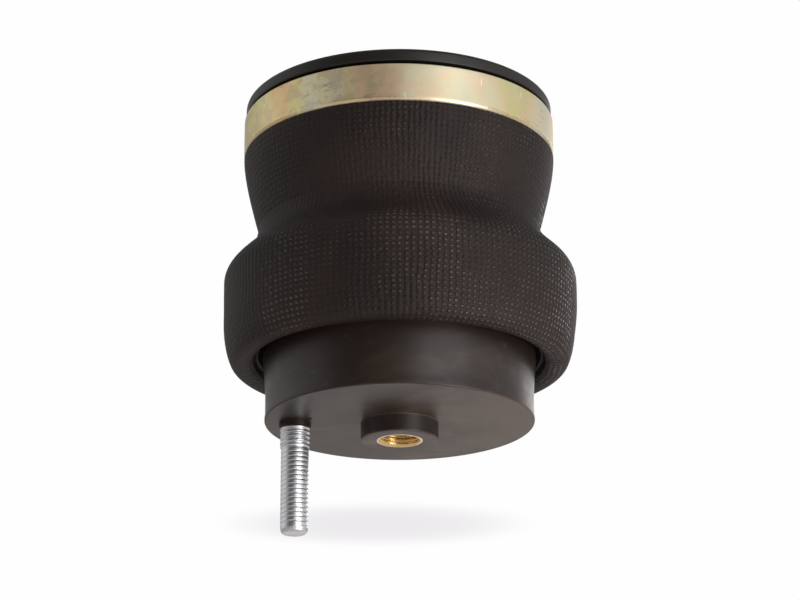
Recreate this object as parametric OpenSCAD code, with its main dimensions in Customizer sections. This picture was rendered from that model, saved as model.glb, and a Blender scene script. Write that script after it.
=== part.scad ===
// Rolling-lobe air spring for a cab or a seat, drawn as it is supplied, with no air in it.
// The origin is the middle of the piston's flat bottom face, and +Z runs up the axis to the cover.
// The mounting stud hangs below the piston, off the axis towards -X. All lengths are millimetres.

/* [Main sizes] */
// Largest diameter, over the rolled lobe
lobe_d = 95; // [90:1:105]
// How far the lobe stands out from the piston wall that it rolls on
lobe_gap = 11; // [10:0.25:13]

/* [Piston body] */
// How far the side lies inside the rolling wall at the foot
foot_step = 0.8; // [0.2:0.1:1.4]
// Height of the straight foot, below the wall's taper
foot_h = 6; // [3:0.5:10]
// How far the bottom edge stands out as a thin lip
foot_lip = 0.15; // [0:0.05:0.3]
// Chamfer under that lip
foot_edge = 0.4; // [0.2:0.1:0.8]
// Height at which the taper reaches the rolling wall
taper_top = 15; // [12:0.5:20]
// Height of the body, up to the plane where the piston top is welded on
body_h = 40; // [38:0.5:44]
// Thickness of the outer wall
wall_t = 3.2; // [2.4:0.1:4.4]
// Thickness of the bottom
floor_t = 5; // [4:0.25:6.5]
// Number of inside ribs and of the air chambers between them
rib_count = 6; // [4:2:8]
// Thickness of each inside rib
rib_t = 2.2; // [1.6:0.1:3]
// Diameter of the middle column
column_d = 18; // [16.5:0.5:20]
// Diameter of the air passage up the column
passage_d = 7; // [6.4:0.2:7.4]
// Width of the slots that let air out of the column
slot_w = 3; // [2:0.25:3]
// Height of those slots
slot_h = 9; // [6:0.5:12]

/* [Locating boss and stud] */
// Diameter of the boss under the piston
boss_d = 20.6; // [18.6:0.2:23]
// How far the boss stands below the bottom face
boss_h = 4.8; // [3:0.2:7]
// Chamfer on the boss's lower edge
boss_edge = 0.4; // [0.2:0.1:0.8]
// Thread diameter of the mounting stud
stud_d = 8; // [6:1:8]
// Distance from the foot's edge in to the stud's axis
stud_edge = 8; // [7.5:0.1:10]
// Length of stud below the bottom face
stud_len = 30; // [16:1:45]
// Chamfer at the stud's tip
stud_tip = 1; // [0.6:0.1:1.4]
// Depth of the stud's root groove on each side
stud_root = 0.65; // [0.5:0.05:0.8]
// Height of the thin plastic collar moulded round the stud's root
collar_h = 1.3; // [0.6:0.1:2]
// How far the collar stands out past the thread
collar_lip = 0.25; // [0.2:0.05:0.5]
// Depth of the stud inside the bottom, up to its head
stud_grip = 7; // [5.5:0.5:9]
// Distance across the flats of the moulded-in head
head_af = 10; // [8:0.5:10.5]
// Thickness of that head
head_t = 3.6; // [2.5:0.1:5]
// Plastic round and over the head
head_cover = 1.4; // [1:0.1:1.6]

/* [Air port] */
// Outer diameter of the brass insert
port_d = 12.2; // [11.4:0.2:14]
// Length of the insert
port_len = 11; // [8.5:0.5:13]
// Bore of the insert, the core of its fine M10 thread
port_bore = 9; // [8:0.1:9.4]
// Countersink at the mouth, on each side
port_sink = 0.75; // [0.3:0.05:0.9]
// Depth of the two grooves that hold the insert in the plastic
port_groove = 0.5; // [0.3:0.05:0.8]

/* [Piston top] */
// Thickness of the deck that closes the body
deck_t = 3.5; // [3:0.25:4.5]
// Width of the deck, from the rolling wall in to the neck
shoulder_w = 6.5; // [6.2:0.1:8]
// Round on the deck's outer edge, as a share of that width
deck_share = 0.44; // [0.3:0.02:0.44]
// Wall of the neck
neck_t = 3; // [2.2:0.1:4]
// Height of the neck above the deck
neck_h = 9; // [8:0.25:9.5]
// How far the seat inside the neck lies below the weld plane
seat_drop = 4; // [3:0.25:6]
// Thickness of the seat
seat_t = 3.5; // [2.5:0.25:4.5]
// Diameter of each air hole in the seat
vent_d = 5; // [3:0.5:6.5]
// Height of the ring that centres the top in the body
spigot_h = 2; // [1:0.25:3]

/* [Bump stop] */
// Diameter of the bump stop's foot
bump_d = 19; // [17:0.5:22]
// Diameter of its blunt top
bump_tip_d = 13; // [9:0.5:14]
// Depth of its waist groove
bump_waist = 1.2; // [0.6:0.1:2]
// Diameter of the stem that snaps into the seat
stem_d = 5.4; // [4:0.2:6]
// Diameter of the stem's barbed end
barb_d = 7.6; // [6.8:0.2:8]
// Length of that barb
barb_h = 3; // [2:0.25:3.5]

/* [Sleeve] */
// Thickness of the rubber and textile sleeve
sleeve_t = 2; // [1.6:0.1:2.3]
// How far the lobe's widest place lies below the weld plane
belly_drop = 2; // [0:0.5:4]
// Height from the lobe's lowest point up to its widest place
lobe_h = 23; // [21:0.5:26]
// Rounding radius at the lobe's outer bottom
lobe_round = 3.2; // [2.8:0.1:4.5]
// Radial width of the lobe's flat bottom and outer round
lobe_foot = 5.1; // [4.6:0.1:6]
// Height of the lobe's inner turn onto the piston
lobe_turn = 5.6; // [5:0.2:7]
// How far the waist above the lobe stands out from the rolling wall
waist_gap = 1.7; // [1.5:0.1:3]
// Height of that waist above the piston's neck
waist_rise = 1.5; // [0.5:0.25:3.5]

/* [Crimp rings] */
// Height of the upper ring's lower edge above the waist
ring_rise = 21; // [20:0.5:26]
// How far the upper ring stands out from the waist
ring_gap = 4.25; // [3.8:0.05:6]
// Height of the upper ring
ring_h = 10.4; // [9:0.2:13]
// Sheet thickness of the upper ring
ring_t = 1; // [0.7:0.05:1.3]
// Round on the upper ring's edges
ring_edge = 0.6; // [0.2:0.05:0.6]
// Height of the lower ring, inside
low_ring_h = 4.6; // [3.6:0.2:4.8]
// Sheet thickness of the lower ring
low_ring_t = 1; // [0.7:0.05:1.2]

/* [Cover] */
// Open gap between the upper ring and the cover's flange
groove_h = 1.6; // [1:0.1:2.5]
// Thickness of the flange
flange_t = 3; // [2.6:0.1:4.4]
// How far the flange's edge lies inside the upper ring
flange_step = 0.45; // [-1:0.05:0.8]
// Round on the flange's upper edge
flange_round = 1.2; // [0.6:0.1:1.4]
// Chamfer on the flange's lower edge
flange_edge = 0.4; // [0.2:0.1:0.6]
// Thickness of the cover plate
plate_t = 4.5; // [4.2:0.1:5.5]
// Thickness of the skirt that the sleeve is crimped on
skirt_t = 3.4; // [3:0.1:4.2]
// How far the skirt reaches below the upper ring
skirt_drop = 1; // [0.5:0.1:1.2]
// Number of sealing grooves round the skirt
seal_count = 3; // [2:1:4]
// Depth of each sealing groove
seal_depth = 0.6; // [0.3:0.05:0.9]
// Diameter of the middle hub
hub_d = 18; // [17:0.5:21]
// Number of ribs on the cover, above and below the plate
spoke_count = 8; // [6:2:12]
// Thickness of each of those ribs
spoke_t = 2.4; // [1.6:0.1:3]
// Height of the ribs under the plate
spoke_h = 5; // [3:0.25:5.5]
// Depth of the shallow pockets between the ribs on top
pocket_depth = 2.2; // [1:0.1:2.6]
// Width of the flat rim outside those pockets
rim_w = 7; // [5.5:0.25:9]
// Centre distance of the two threaded inserts
insert_pitch = 40; // [38:1:44]
// Outer diameter of each insert
insert_d = 11; // [10:0.2:12]
// Length of each insert
insert_len = 9; // [8:0.25:9.5]
// Bore of each insert, the core of its M8 thread
insert_bore = 6.8; // [5:0.1:7]
// Depth of that blind bore
insert_depth = 8; // [6:0.25:8]
// Plastic round each insert
pillar_t = 2.3; // [1.6:0.1:3]
// Plastic below each insert
pillar_floor = 1.5; // [1:0.1:1.8]

/* [Motion] */
// Travel from the supplied height down to the bump stop
bump_travel = 25; // [20:0.5:25.5]

/* [Hidden] */
$fn = 96;
// Gap round a moulded-in or pressed piece
seat_gap = 0.05;
// Gap between the rubber sleeve and the rigid pieces that hold it
sleeve_gap = 0.1;
// Gap left at the bump stop's full travel
stop_gap = 0.3;
// Extra depth of a cut, so that it passes its face
cut = 1;

lobe_r = lobe_d / 2;
wall_r = lobe_r - lobe_gap;
foot_r = wall_r - foot_step;
stud_offset = foot_r - stud_edge;
cavity_r = wall_r - wall_t;
stud_r = stud_d / 2;
stud_core_r = stud_r - stud_root;
collar_r = stud_r + collar_lip;
head_r = head_af / 2 / cos(30);
deck_z = body_h + deck_t;
deck_round = shoulder_w * deck_share;
neck_r = wall_r - shoulder_w;
neck_z = deck_z + neck_h;
vent_r = (neck_r - neck_t + bump_d / 2) / 2;
seat_z = body_h - seat_drop;
seat_top = seat_z + seat_t;
waist_r = wall_r + waist_gap;
waist_z = neck_z + waist_rise;
ring_r = waist_r + ring_gap;
ring_z = waist_z + ring_rise;
ring_top = ring_z + ring_h;
flange_z = ring_top + groove_h;
cover_z = flange_z + flange_t;
plate_z = cover_z - plate_t;
flange_r = ring_r - flange_step;
// The sleeve's outside where the ring squeezes it, and the skirt that it is squeezed on
crimp_r = ring_r - ring_t - sleeve_gap;
skirt_r = crimp_r - sleeve_t - sleeve_gap;
skirt_in_r = skirt_r - skirt_t;
skirt_z = ring_z - skirt_drop;
bump_top = plate_z - bump_travel - stop_gap;

// Points of an elliptical arc after its start, so that stretches join with no doubled point
function arc(c, rx, rz, from, to, n) =
    [for (i = [1:n]) let (a = from + (to - from) * i / n) [c.x + rx * cos(a), c.y + rz * sin(a)]];

// Points of a smooth curve pulled towards its middle handles, after its start
function bow(p, h, q, n) =
    [for (i = [1:n]) let (t = i / n) (1 - t) * (1 - t) * p + 2 * t * (1 - t) * h + t * t * q];
function sweep(p, h, k, q, n) =
    [for (i = [1:n]) let (t = i / n, s = 1 - t) s * s * s * p + 3 * s * s * t * h + 3 * s * t * t * k + t * t * t * q];

// The same line moved sideways by t, to the right of its direction of travel
function beside(path, t) = [for (i = [0:len(path) - 1])
    let (d = path[min(i + 1, len(path) - 1)] - path[max(i - 1, 0)], u = d / norm(d))
    path[i] + t * [u.y, -u.x]];
function backwards(path) = [for (i = [len(path) - 1:-1:0]) path[i]];

// Shallow grooves up the outside of a spigot, which let the crimped rubber key in
function grooves(r, from, to, count, depth) =
    let (step = (to - from) / (count + 1), w = step / 4)
    [for (i = [1:count], k = [0:3])
        let (z = from + step * i) [k == 0 || k == 3 ? r : r - depth, z + w * [-1, -0.5, 0.5, 1][k]]];

module around(count, start = 0) {
    for (i = [0:count - 1])
        rotate(start + i * 360 / count)
            children();
}

// Flat bars through the axis, seen from above as an even star with that many points
module star(points, length, width, from, to, turn = 0) {
    for (i = [0:points / 2 - 1])
        rotate((i + turn) * 360 / points)
            translate([-length / 2, -width / 2, from])
                cube([length, width, to - from]);
}

// Piston body: a cup with a closed bottom, the boss below it, and ribs, column and stud pillar inside
module piston_outline() {
    rotate_extrude()
        polygon([
            [0, -boss_h],
            [boss_d / 2 - boss_edge, -boss_h],
            [boss_d / 2, boss_edge - boss_h],
            [boss_d / 2, 0],
            [foot_r + foot_lip - foot_edge, 0],
            [foot_r + foot_lip, foot_edge],
            [foot_r, 4 * foot_edge],
            [foot_r, foot_h],
            [wall_r, taper_top],
            [wall_r, body_h],
            [0, body_h]
        ]);
}

module piston_insides() {
    cylinder(r = column_d / 2, h = seat_z - seat_gap);
    star(rib_count, 2 * (cavity_r + cut), rib_t, 0, seat_z - seat_gap);
    translate([-stud_offset, 0, 0])
        cylinder(r = head_r + seat_gap + head_cover, h = stud_grip + head_t + head_cover);
}

module stud_socket() {
    translate([-stud_offset, 0, 0]) {
        translate([0, 0, -collar_h - cut])
            cylinder(r = stud_core_r + seat_gap, h = collar_h + cut + stud_grip + cut / 2);
        translate([0, 0, stud_grip - seat_gap])
            cylinder(r = head_r + seat_gap, h = head_t + 2 * seat_gap, $fn = 6);
    }
}

module column_bores() {
    port_r = port_d / 2 + seat_gap;
    port_top = port_len - boss_h + seat_gap;
    barb_r = barb_d / 2 + 2 * sleeve_gap;
    barb_z = seat_z - barb_h - 2 * cut;
    rotate_extrude()
        polygon([
            [0, -boss_h - cut],
            [port_r, -boss_h - cut],
            [port_r, port_top],
            [passage_d / 2, port_top],
            [passage_d / 2, barb_z],
            [barb_r, barb_z],
            [barb_r, seat_z + cut],
            [0, seat_z + cut]
        ]);
    star(rib_count, column_d + 2 * cut, slot_w, barb_z - cut - slot_h, barb_z - cut, 0.5);
}

module piston_body() {
    color("#3a3431")
        difference() {
            union() {
                piston_outline();
                translate([-stud_offset, 0, -collar_h])
                    cylinder(r = collar_r, h = collar_h + cut);
            }
            difference() {
                translate([0, 0, floor_t])
                    cylinder(r = cavity_r, h = body_h);
                piston_insides();
            }
            column_bores();
            stud_socket();
        }
}

// Piston top: the deck that closes the cup, with the neck for the sleeve and a sunk seat for the bump stop
module piston_top() {
    color("#35302e")
        difference() {
            rotate_extrude()
                polygon(concat(
                    [
                        [0, seat_z],
                        [neck_r, seat_z],
                        [neck_r, body_h - spigot_h],
                        [cavity_r - 2 * seat_gap, body_h - spigot_h],
                        [cavity_r - 2 * seat_gap, body_h],
                        [wall_r, body_h],
                        [wall_r, deck_z - deck_round]
                    ],
                    arc([wall_r - deck_round, deck_z - deck_round], deck_round, deck_round, 0, 90, 10),
                    [[neck_r, deck_z]],
                    grooves(neck_r, deck_z + neck_h / 3, neck_z, seal_count - 1, seal_depth / 2),
                    [
                        [neck_r, neck_z - seal_depth],
                        [neck_r - seal_depth, neck_z],
                        [neck_r - neck_t, neck_z],
                        [neck_r - neck_t, seat_top],
                        [0, seat_top]
                    ]
                ));
            translate([0, 0, seat_z - cut])
                cylinder(r = stem_d / 2 + seat_gap, h = seat_t + 2 * cut);
            around(rib_count, 180 / rib_count)
                translate([vent_r, 0, seat_z - cut])
                    cylinder(r = vent_d / 2, h = seat_t + 2 * cut);
        }
}

// Mounting stud: the threaded length, the root groove and the six-sided head inside the plastic
module mounting_stud() {
    color("#b9bcbd")
        translate([-stud_offset, 0, 0]) {
            rotate_extrude()
                polygon([
                    [0, -stud_len],
                    [stud_r - stud_tip, -stud_len],
                    [stud_r, stud_tip - stud_len],
                    [stud_r, -collar_h - seat_gap],
                    [stud_core_r, -collar_h - seat_gap],
                    [stud_core_r, stud_grip + cut / 2],
                    [0, stud_grip + cut / 2]
                ]);
            translate([0, 0, stud_grip])
                cylinder(r = head_r, h = head_t, $fn = 6);
        }
}

// Air port: a brass sleeve with a fine thread, flush with the boss
module air_port_insert() {
    port_r = port_d / 2;
    bore_r = port_bore / 2;
    top = port_len - boss_h;
    step = port_len / 5;
    color("#c79a3c")
        rotate_extrude()
            polygon([
                [bore_r + port_sink, -boss_h],
                [port_r, -boss_h],
                [port_r, step - boss_h],
                [port_r - port_groove, step - boss_h],
                [port_r - port_groove, 2 * step - boss_h],
                [port_r, 2 * step - boss_h],
                [port_r, 3 * step - boss_h],
                [port_r - port_groove, 3 * step - boss_h],
                [port_r - port_groove, 4 * step - boss_h],
                [port_r, 4 * step - boss_h],
                [port_r, top],
                [bore_r, top],
                [bore_r, port_sink - boss_h]
            ]);
}

// Bump stop: rubber cone with a waist, held by its barbed stem
module bump_stop() {
    foot = bump_d / 2;
    tip = bump_tip_d / 2;
    tall = bump_top - seat_top;
    color("#1f1e1d")
        rotate_extrude()
            polygon(concat(
                [
                    [0, seat_z - barb_h],
                    [stem_d / 2, seat_z - barb_h],
                    [barb_d / 2, seat_z - seat_gap],
                    [stem_d / 2, seat_z - seat_gap],
                    [stem_d / 2, seat_top],
                    [foot, seat_top],
                    [foot, seat_top + tall * 0.18],
                    [foot - bump_waist, seat_top + tall * 0.3],
                    [foot - bump_waist, seat_top + tall * 0.4],
                    [(foot + tip) / 2, seat_top + tall * 0.52]
                ],
                bow([(foot + tip) / 2, seat_top + tall * 0.52], [tip + 0.6, bump_top], [tip / 2, bump_top], 8),
                [[0, bump_top]]
            ));
}

// Sleeve: the face that meets the weather, from the crimp down the outside, under the lobe, up the
// piston and over its deck to the neck. The air side lies one thickness from it all the way.
run_r = wall_r + sleeve_gap;
lobe_belly = body_h - belly_drop;
lobe_bottom = lobe_belly - lobe_h;
waist = [waist_r, waist_z];
belly = [lobe_r, lobe_belly];
foot_mid = [lobe_r - lobe_foot, lobe_bottom + lobe_round];
corner_from = -15;
corner = foot_mid + lobe_round * [cos(corner_from), sin(corner_from)];
neck_bend = sleeve_t + 0.8;
// The rubber swells out just below the ring, and these pull the outside's curves away from their ends
bulge = [ring_r - 0.05, ring_z - 0.6];
bulge_pull = [-0.05, -5.7];
waist_pull = [1, -8.9];
belly_lift = [0.15, 6.6];
belly_sag = [0.15, -16];
weather_face = concat(
    [[crimp_r, flange_z - sleeve_gap], [crimp_r, ring_z], bulge],
    bow(bulge, bulge + bulge_pull, waist, 10),
    sweep(waist, waist + waist_pull, belly + belly_lift, belly, 16),
    bow(belly, belly + belly_sag, corner, 10),
    arc(foot_mid, lobe_round, lobe_round, corner_from, -90, 6),
    arc([foot_mid.x, lobe_bottom + lobe_turn], foot_mid.x - run_r, lobe_turn, -90, -180, 8),
    [[run_r, deck_z - deck_round]],
    arc([wall_r - deck_round, deck_z - deck_round], deck_round + sleeve_gap, deck_round + sleeve_gap, 0, 90, 6),
    arc([neck_r + sleeve_gap + neck_bend, deck_z + sleeve_gap + neck_bend], neck_bend, neck_bend, -90, -180, 5),
    [[neck_r + sleeve_gap, neck_z - stop_gap]]
);

module bellows_sleeve() {
    color("#272422")
        rotate_extrude()
            polygon(concat(weather_face, backwards(beside(weather_face, sleeve_t))));
}

// Both crimp rings are plain bands with rounded edges
module band(r, t, from, to, edge) {
    rotate_extrude()
        polygon(concat(
            [[r - t, from], [r - edge, from]],
            arc([r - edge, from + edge], edge, edge, -90, 0, 5),
            [[r, to - edge]],
            arc([r - edge, to - edge], edge, edge, 0, 90, 5),
            [[r - t, to]]
        ));
}

module lower_crimp_ring() {
    top = neck_z - 3 * stop_gap;
    inner = neck_r + 2 * sleeve_gap + sleeve_t;
    color("#a8a496")
        band(inner + low_ring_t, low_ring_t, top - low_ring_h, top, low_ring_t / 2);
}

module upper_crimp_ring() {
    color("#c2b27a")
        band(ring_r, ring_t, ring_z, ring_top, ring_edge);
}

// Cover: a flanged plate with a grooved skirt, ribs above and below it and two pillars for the inserts
module cover_outline() {
    rotate_extrude()
        polygon(concat(
            [
                [0, plate_z],
                [skirt_in_r, plate_z],
                [skirt_in_r, skirt_z + seal_depth],
                [skirt_in_r + seal_depth, skirt_z],
                [skirt_r - seal_depth, skirt_z],
                [skirt_r, skirt_z + seal_depth]
            ],
            grooves(skirt_r, ring_z, ring_top, seal_count, seal_depth),
            [
                [skirt_r, flange_z],
                [flange_r - flange_edge, flange_z],
                [flange_r, flange_z + flange_edge],
                [flange_r, cover_z - flange_round]
            ],
            arc([flange_r - flange_round, cover_z - flange_round], flange_round, flange_round, 0, 90, 6),
            [[0, cover_z]]
        ));
}

module insert_places() {
    for (side = [-1, 1])
        translate([side * insert_pitch / 2, 0, 0])
            children();
}

module cover_pockets() {
    difference() {
        translate([0, 0, cover_z - pocket_depth])
            cylinder(r = flange_r - rim_w, h = pocket_depth + cut);
        cylinder(r = hub_d / 2, h = cover_z + 2 * cut);
        star(spoke_count, 2 * flange_r, spoke_t, plate_z, cover_z + 2 * cut);
        insert_places()
            cylinder(r = insert_d / 2 + pillar_t, h = cover_z + 2 * cut);
    }
}

module top_cover() {
    pillar_z = cover_z - insert_len - pillar_floor;
    color("#1d1c1b")
        difference() {
            union() {
                cover_outline();
                difference() {
                    star(spoke_count, 2 * skirt_in_r + skirt_t, spoke_t, plate_z - spoke_h, plate_z + cut);
                    translate([0, 0, plate_z - spoke_h - cut])
                        cylinder(r = hub_d / 2, h = spoke_h + cut);
                }
                insert_places()
                    translate([0, 0, pillar_z])
                        cylinder(r = insert_d / 2 + pillar_t, h = cover_z - pillar_z - cut);
            }
            cover_pockets();
            insert_places()
                translate([0, 0, cover_z - insert_len - seat_gap])
                    cylinder(r = insert_d / 2 + seat_gap, h = insert_len + cut);
        }
}

// Top inserts: blind, so that no air leaks past the screws
module top_insert(side) {
    insert_r = insert_d / 2;
    bore_r = insert_bore / 2;
    sink = 0.6;
    low = cover_z - insert_len;
    color("#c79a3c")
        translate([side * insert_pitch / 2, 0, 0])
            rotate_extrude()
                polygon([
                    [0, low],
                    [insert_r, low],
                    [insert_r, low + insert_len * 0.4],
                    [insert_r - sink, low + insert_len * 0.4],
                    [insert_r - sink, low + insert_len * 0.6],
                    [insert_r, low + insert_len * 0.6],
                    [insert_r, cover_z],
                    [bore_r + sink, cover_z],
                    [bore_r, cover_z - sink],
                    [bore_r, cover_z - insert_depth],
                    [0, cover_z - insert_depth]
                ]);
}

module top_insert_left() {
    top_insert(-1);
}

module top_insert_right() {
    top_insert(1);
}

piston_body();
piston_top();
mounting_stud();
air_port_insert();
lower_crimp_ring();
bump_stop();
bellows_sleeve();
upper_crimp_ring();
top_cover();
top_insert_left();
top_insert_right();
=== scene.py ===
import math

import bpy
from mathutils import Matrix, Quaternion, Vector


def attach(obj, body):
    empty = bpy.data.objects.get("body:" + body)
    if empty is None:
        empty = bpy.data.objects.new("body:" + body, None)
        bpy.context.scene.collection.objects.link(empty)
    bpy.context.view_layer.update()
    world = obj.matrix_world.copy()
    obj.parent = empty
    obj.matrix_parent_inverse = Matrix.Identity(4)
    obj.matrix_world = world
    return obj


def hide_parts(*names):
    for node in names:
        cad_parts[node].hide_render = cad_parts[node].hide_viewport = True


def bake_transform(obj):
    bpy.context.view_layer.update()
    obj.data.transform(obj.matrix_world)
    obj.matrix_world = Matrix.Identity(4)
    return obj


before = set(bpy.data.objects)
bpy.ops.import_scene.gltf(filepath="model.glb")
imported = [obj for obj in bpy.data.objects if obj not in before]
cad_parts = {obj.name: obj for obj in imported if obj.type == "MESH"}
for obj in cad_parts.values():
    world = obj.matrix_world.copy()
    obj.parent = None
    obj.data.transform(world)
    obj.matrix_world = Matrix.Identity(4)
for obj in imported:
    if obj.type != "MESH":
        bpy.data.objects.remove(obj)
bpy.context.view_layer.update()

# A rolling-lobe air spring, seen from below. Outlines are in millimetres: radius and height from the
# middle of the piston's bottom face.
MM = 0.001
SIDES = 256
FINE_SIDES = 96

# Sizes shared with the solids, apart from the flange's lower edge, which is a little deeper here
WALL_R = 36.5
FOOT_R = 35.7
RING_R = 42.45
RING_Z = 75.0
RING_TOP = 85.4
FLANGE_Z = 86.4
FLANGE_R = 42.0
COVER_Z = 90.0
SLEEVE_T = 2.0
WAIST = (38.2, 54.0)
STUD_X = -27.7
INSERT_X = 20.0
BOSS_R = 10.3
BOSS_Z = -4.8
PIT = (-23.6, -5.2)
PIT_R = 0.55
PORT_R = 5.35


# Outlines

def arc(cx, cz, rx, rz, start, end, steps):
    """Points along an elliptical arc, after its first one."""
    turns = [math.radians(start + (end - start) * i / steps) for i in range(1, steps + 1)]
    return [(cx + rx * math.cos(a), cz + rz * math.sin(a)) for a in turns]


def bow(p, h, q, steps):
    """Points of a curve from p to q pulled towards h, after p."""
    points = []
    for i in range(1, steps + 1):
        t = i / steps
        s = 1 - t
        points.append(tuple(s * s * a + 2 * s * t * b + t * t * c for a, b, c in zip(p, h, q)))
    return points


def sweep(p, h, k, q, steps):
    """Points of a curve from p to q pulled towards h and then k, after p."""
    points = []
    for i in range(1, steps + 1):
        t = i / steps
        s = 1 - t
        points.append(tuple(s * s * s * a + 3 * s * s * t * b + 3 * s * t * t * c + t * t * t * d
                            for a, b, c, d in zip(p, h, k, q)))
    return points


def beside(path, gaps):
    """The same path moved sideways by the gap at each point, to the right of its direction of travel."""
    moved = []
    for i, ((r, z), gap) in enumerate(zip(path, gaps)):
        ahead = Vector(path[min(i + 1, len(path) - 1)])
        behind = Vector(path[max(i - 1, 0)])
        u = (ahead - behind).normalized()
        moved.append((r + gap * u.y, z - gap * u.x))
    return moved


def lengths(path):
    """Distance run along the path at each of its points."""
    run = [0.0]
    for a, b in zip(path, path[1:]):
        run.append(run[-1] + math.dist(a, b))
    return run


# Shaping

def let_go():
    """Leaves nothing picked."""
    bpy.ops.object.select_all(action="DESELECT")


def pick(piece):
    """Leaves only this piece picked, for the next step to work on."""
    let_go()
    piece.select_set(True)
    bpy.context.view_layer.objects.active = piece


def start_point(name, place):
    """A piece of one point, made by closing up a small square."""
    let_go()
    bpy.ops.mesh.primitive_plane_add(size=MM, location=(0, 0, 0))
    piece = bpy.context.object
    piece.name = piece.data.name = name
    bpy.ops.object.mode_set(mode="EDIT")
    bpy.ops.mesh.select_all(action="SELECT")
    bpy.ops.mesh.merge(type="CENTER")
    bpy.ops.transform.translate(value=place)
    return piece


def turn(name, outline, sides=SIDES, closed=True, runs=None):
    """Draws an outline point by point and spins it round the spring's axis.
    A closed outline also gets the edge back to its first point; an open one starts and ends on the axis.
    runs, if given, is the distance along the cloth at each point, kept for the cloth's map."""
    spots = [Vector((r * MM, 0, z * MM)) for r, z in outline]
    piece = start_point(name, spots[0])
    for a, b in zip(spots, spots[1:]):
        bpy.ops.mesh.extrude_region_move(TRANSFORM_OT_translate={"value": b - a})
    if closed:
        bpy.ops.mesh.select_all(action="DESELECT")
        bpy.ops.object.mode_set(mode="OBJECT")
        for v in piece.data.vertices:
            v.select = v.index in (0, len(spots) - 1)
        bpy.ops.object.mode_set(mode="EDIT")
        bpy.ops.mesh.edge_face_add()
    if runs:
        bpy.ops.object.mode_set(mode="OBJECT")
        along = piece.data.attributes.new("along", "FLOAT", "POINT")
        for value, item in zip(runs, along.data):
            item.value = value * MM
        bpy.ops.object.mode_set(mode="EDIT")
    bpy.ops.mesh.select_all(action="SELECT")
    bpy.ops.mesh.spin(steps=sides, angle=math.tau, center=(0, 0, 0), axis=(0, 0, 1))
    bpy.ops.mesh.select_all(action="SELECT")
    bpy.ops.mesh.remove_doubles(threshold=0.002 * MM)
    bpy.ops.mesh.normals_make_consistent(inside=False)
    bpy.ops.object.mode_set(mode="OBJECT")
    return piece


def smooth(piece, angle=32):
    """Shades a piece smooth, and keeps the edges sharper than the angle."""
    pick(piece)
    bpy.ops.object.shade_smooth_by_angle(angle=math.radians(angle))
    return piece


def cut_with(piece, tool, kind="DIFFERENCE"):
    """Takes a tool's shape out of a piece, or joins it on, and throws the tool away."""
    pick(piece)
    step = piece.modifiers.new("cut", "BOOLEAN")
    step.operation = kind
    step.solver = "EXACT"
    step.object = tool
    bpy.ops.object.modifier_apply(modifier=step.name)
    bpy.data.objects.remove(tool)
    return piece


def move_to(piece, x, y=0.0):
    """Moves a finished piece's mesh, so that its object stays at the origin."""
    pick(piece)
    piece.location = (x * MM, y * MM, 0)
    bpy.ops.object.transform_apply(location=True, rotation=False, scale=False)
    return piece


def bar(length, width, low, high, turned):
    """A straight bar through the axis, used for ribs and slots."""
    let_go()
    bpy.ops.mesh.primitive_cube_add(size=1, location=(0, 0, (low + high) / 2 * MM),
                                    rotation=(0, 0, math.radians(turned)),
                                    scale=(length * MM, width * MM, (high - low) * MM))
    bpy.ops.object.transform_apply(location=True, rotation=True, scale=True)
    return bpy.context.object


def rod(radius, low, high, x=0.0, y=0.0, sides=FINE_SIDES):
    """A plain rod, used for pillars and holes."""
    let_go()
    bpy.ops.mesh.primitive_cylinder_add(vertices=sides, radius=radius * MM, depth=(high - low) * MM,
                                        location=(x * MM, y * MM, (low + high) / 2 * MM))
    bpy.ops.object.transform_apply(location=True, rotation=True, scale=True)
    return bpy.context.object


def wall_rings(radius, low, high, step):
    """Closely spaced points up a wall that gets a thread."""
    count = max(1, round(abs(high - low) / step))
    return [(radius, low + (high - low) * i / count) for i in range(count + 1)]


def cut_thread(piece, radius, pitch, low, high, depth, crest, root=0.16):
    """Presses the wall at that radius inwards along a helix, or outwards if the depth is negative.
    crest and root are the shares of a turn that stay flat. The helix fades at both ends."""
    for v in piece.data.vertices:
        r = math.hypot(v.co.x, v.co.y) / MM
        z = v.co.z / MM
        if abs(r - radius) > 0.02 or not low <= z <= high:
            continue
        fade = min(1.0, (z - low) / pitch + 0.25, (high - z) / pitch + 0.25)
        phase = (z / pitch - math.atan2(v.co.y, v.co.x) / math.tau) % 1.0
        flank = (1 - crest - abs(2 * phase - 1)) / (1 - crest - root)
        k = (r - depth * fade * min(1.0, max(0.0, flank))) / r
        v.co.x *= k
        v.co.y *= k
    return piece


# The sleeve

CRIMP_R = RING_R - 1.1
RUN_R = WALL_R + 0.1
LOBE_R = 47.5
TURN_TOP = 23.0
DECK_Z = 43.5
DECK_ROUND = 2.86
NECK_R = 30.0
NECK_TOP = 52.2
WAIST_THIN = 0.4
WAIST_REACH = 8.0
RUN_THIN = 0.7
RUN_REACH = 12.0
FOOT_MID = (42.4, 18.2)
FOOT_ROUND = 3.2
BELLY_Z = 38.0

crimped = [(CRIMP_R, RING_TOP + 0.1), (CRIMP_R, RING_Z + 0.25)]
crimped += arc(CRIMP_R + 0.55, RING_Z + 0.25, 0.55, 0.35, 180, 270, 4)
bulge = (RING_R - 0.05, RING_Z - 0.6)
upper_face = crimped + bow(crimped[-1], (RING_R - 0.06, RING_Z - 0.1), bulge, 3)
upper_face += bow(bulge, (RING_R - 0.1, RING_Z - 6.3), WAIST, 28)

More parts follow.
